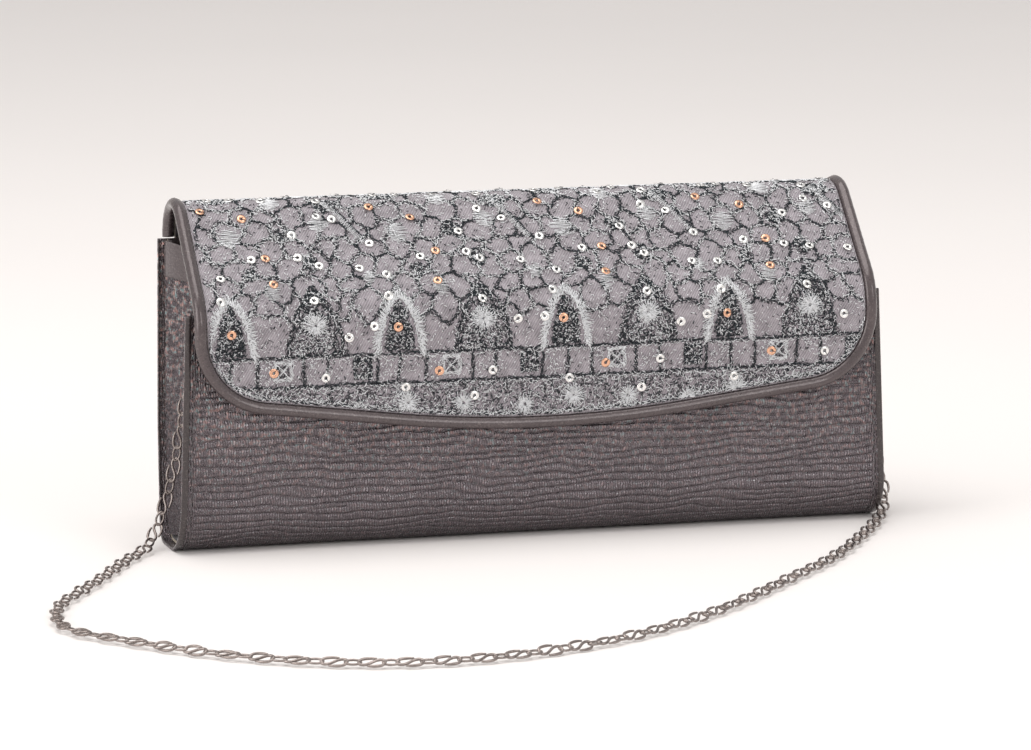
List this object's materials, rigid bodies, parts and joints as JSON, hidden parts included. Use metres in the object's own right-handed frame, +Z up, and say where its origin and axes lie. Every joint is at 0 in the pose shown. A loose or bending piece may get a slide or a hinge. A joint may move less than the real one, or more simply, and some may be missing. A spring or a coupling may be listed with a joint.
{
  "type": "evening bag",
  "caption": "Stiffened clutch bag with folded gussets, a curved lace-covered flap edged in piping, a magnetic snap and a loose chain.",
  "frame": {"origin": "on the surface the bag stands on, under the middle of the bag without its chain", "axes": "+Z up, +X to the bag's right as the flap's front is faced, +Y towards its back"},
  "size_m": [0.3583, 0.2611, 0.1274],
  "materials": {
    "embossed_leatherette": "satin",
    "smooth_leatherette": "gloss",
    "twill": "satin",
    "lace": "satin",
    "lining_cloth": "satin",
    "board": "matte",
    "nickel": "polished",
    "chain_metal": "polished"
  },
  "bodies": {
    "bag_body": {"front_panel": "embossed_leatherette", "base_panel": "embossed_leatherette", "back_panel": "embossed_leatherette", "front_board": "board", "base_board": "board", "back_board": "board", "front_facing": "smooth_leatherette", "back_facing": "smooth_leatherette", "front_lining": "lining_cloth", "base_lining": "lining_cloth", "back_lining": "lining_cloth", "front_edge_roll_left": "embossed_leatherette", "back_edge_roll_left": "embossed_leatherette", "front_edge_roll_right": "embossed_leatherette", "back_edge_roll_right": "embossed_leatherette", "slip_pocket": "lining_cloth", "pocket_binding": "smooth_leatherette", "gusset_left": "embossed_leatherette", "gusset_lining_left": "lining_cloth", "gusset_facing_left": "smooth_leatherette", "ring_tab_left": "smooth_leatherette", "gusset_right": "embossed_leatherette", "gusset_lining_right": "lining_cloth", "gusset_facing_right": "smooth_leatherette", "ring_tab_right": "smooth_leatherette", "snap_socket": "nickel", "socket_washer": "nickel", "chain": "chain_metal"},
    "flap": {"flap_lace": "lace", "flap_cover": "twill", "flap_board": "board", "flap_lining": "lining_cloth", "flap_piping": "smooth_leatherette", "snap_stud": "nickel", "stud_washer": "nickel"},
    "left_ring": {"ring_left": "nickel", "end_link_left": "chain_metal"},
    "right_ring": {"ring_right": "nickel", "end_link_right": "chain_metal"}
  },
  "joints": [
    {"name": "flap_fold", "type": "hinge", "parent": "bag_body", "child": "flap", "pos_m": [0, 0.02925, 0.1108], "axis": [-1, 0, 0], "range_deg": [0, 150]},
    {"name": "left_ring_swing", "type": "hinge", "parent": "bag_body", "child": "left_ring", "pos_m": [-0.12195, 0.00199, 0.096], "axis": [0, 1, 0], "range_deg": [0, 30]},
    {"name": "right_ring_swing", "type": "hinge", "parent": "bag_body", "child": "right_ring", "pos_m": [0.12195, 0.00199, 0.096], "axis": [0, -1, 0], "range_deg": [0, 30]}
  ]
}
